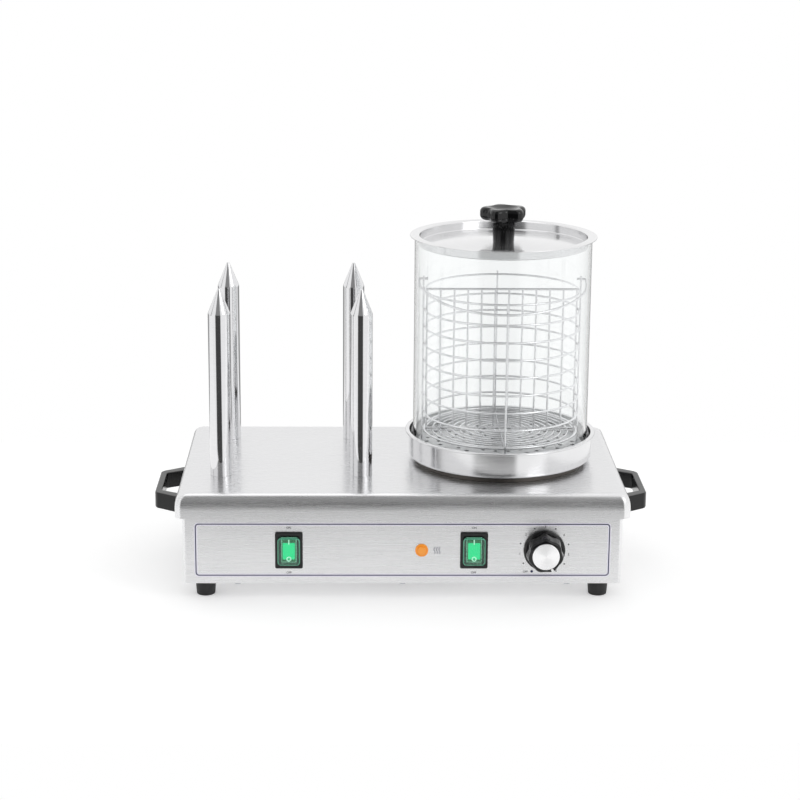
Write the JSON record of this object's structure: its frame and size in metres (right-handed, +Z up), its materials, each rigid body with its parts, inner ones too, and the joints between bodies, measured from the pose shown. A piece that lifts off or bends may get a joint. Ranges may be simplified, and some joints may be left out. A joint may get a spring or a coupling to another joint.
{
  "type": "hot dog toaster",
  "caption": "Counter-top hot dog maker: steel base on rubber feet with side handles, heated bun spikes, and a glass steamer with wire basket, lid, switches, lamp and dial.",
  "frame": {"origin": "on the table, under the middle of the deck", "axes": "+X to the right as seen by the user at the controls, +Y from the controls to the back, +Z up"},
  "size_m": [0.562, 0.32, 0.4179],
  "materials": {
    "brushed_steel": "brushed stainless steel",
    "polished_steel": "polished stainless steel",
    "zinc_plate": "zinc-plated",
    "heater_steel": "satin",
    "black_rubber": "matte",
    "black_plastic": "gloss",
    "clear_glass": "clear",
    "green_boot": "translucent green",
    "green_rocker": "gloss",
    "amber_lens": "translucent amber",
    "aluminium": "spun",
    "white_plastic": "matte"
  },
  "bodies": {
    "base": {"back_panel": "brushed_steel", "bottom_plate": "brushed_steel", "bottom_plate_screws": "zinc_plate", "bun_switch_boot": "green_boot", "bun_switch_frame": "black_plastic", "cable_gland": "black_plastic", "cable_gland_nut": "black_plastic", "casing": "brushed_steel", "deck_nuts": "zinc_plate", "element_bridge": "brushed_steel", "foot_back_left": "black_rubber", "foot_back_right": "black_rubber", "foot_bolts": "zinc_plate", "foot_front_left": "black_rubber", "foot_front_right": "black_rubber", "foot_nuts": "zinc_plate", "handle_left": "black_plastic", "handle_right": "black_plastic", "handle_screws": "zinc_plate", "heating_element": "heater_steel", "heating_plate": "aluminium", "pan_nuts": "zinc_plate", "pilot_lamp_body": "black_plastic", "pilot_lamp_lens": "amber_lens", "pilot_lamp_nut": "zinc_plate", "sensing_bulb": "heater_steel", "spike_back_left": "polished_steel", "spike_back_right": "polished_steel", "spike_front_left": "polished_steel", "spike_front_right": "polished_steel", "spike_heater_back_left": "heater_steel", "spike_heater_back_right": "heater_steel", "spike_heater_front_left": "heater_steel", "spike_heater_front_right": "heater_steel", "spike_nuts": "zinc_plate", "spike_washers": "zinc_plate", "steam_switch_boot": "green_boot", "steam_switch_frame": "black_plastic", "terminal_block": "white_plastic", "terminal_screws": "zinc_plate", "thermal_cutout": "heater_steel", "thermostat": "black_plastic", "thermostat_screws": "zinc_plate", "top_deck": "brushed_steel", "water_pan": "brushed_steel"},
    "steam_plate": {"steam_plate": "brushed_steel"},
    "glass": {"glass_cylinder": "clear_glass"},
    "lid": {"lid": "brushed_steel", "lid_knob": "black_plastic", "lid_knob_screw": "zinc_plate"},
    "basket": {"basket_hoops": "polished_steel", "basket_posts": "polished_steel", "basket_divider": "polished_steel", "basket_floor": "polished_steel"},
    "bail": {"basket_bail": "polished_steel"},
    "dial": {"dial_knob": "black_plastic", "dial_cap": "aluminium", "thermostat_shaft": "zinc_plate"},
    "bun_rocker": {"bun_switch_rocker": "green_rocker"},
    "steam_rocker": {"steam_switch_rocker": "green_rocker"}
  },
  "joints": [
    {"name": "steam_plate_lift", "type": "slide", "parent": "base", "child": "steam_plate", "axis": [0, 0, 1], "range_m": [0, 0.04]},
    {"name": "glass_lift", "type": "slide", "parent": "steam_plate", "child": "glass", "axis": [0, 0, 1], "range_m": [0, 0.26]},
    {"name": "lid_lift", "type": "slide", "parent": "glass", "child": "lid", "axis": [0, 0, 1], "range_m": [0, 0.48]},
    {"name": "basket_lift", "type": "slide", "parent": "steam_plate", "child": "basket", "axis": [0, 0, 1], "range_m": [0, 0.24]},
    {"name": "bail_swing", "type": "hinge", "parent": "basket", "child": "bail", "pos_m": [0.114, 0, 0.3362], "axis": [-1, 0, 0], "range_deg": [0, 103.6]},
    {"name": "dial_turn", "type": "hinge", "parent": "base", "child": "dial", "pos_m": [0.1563, -0.136, 0.0582], "axis": [0, -1, 0], "range_deg": [0, 298]},
    {"name": "bun_switch_rock", "type": "hinge", "parent": "base", "child": "bun_rocker", "pos_m": [-0.1254, -0.134, 0.0582], "axis": [1, 0, 0], "range_deg": [0, 20]},
    {"name": "steam_switch_rock", "type": "hinge", "parent": "base", "child": "steam_rocker", "pos_m": [0.0786, -0.134, 0.0582], "axis": [1, 0, 0], "range_deg": [0, 20]}
  ],
  "couplings": [
    {"joint": "basket_lift", "follows": "lid_lift", "ratio": 0.5},
    {"joint": "bail_swing", "follows": "lid_lift", "rad_per_m": 3.767}
  ]
}
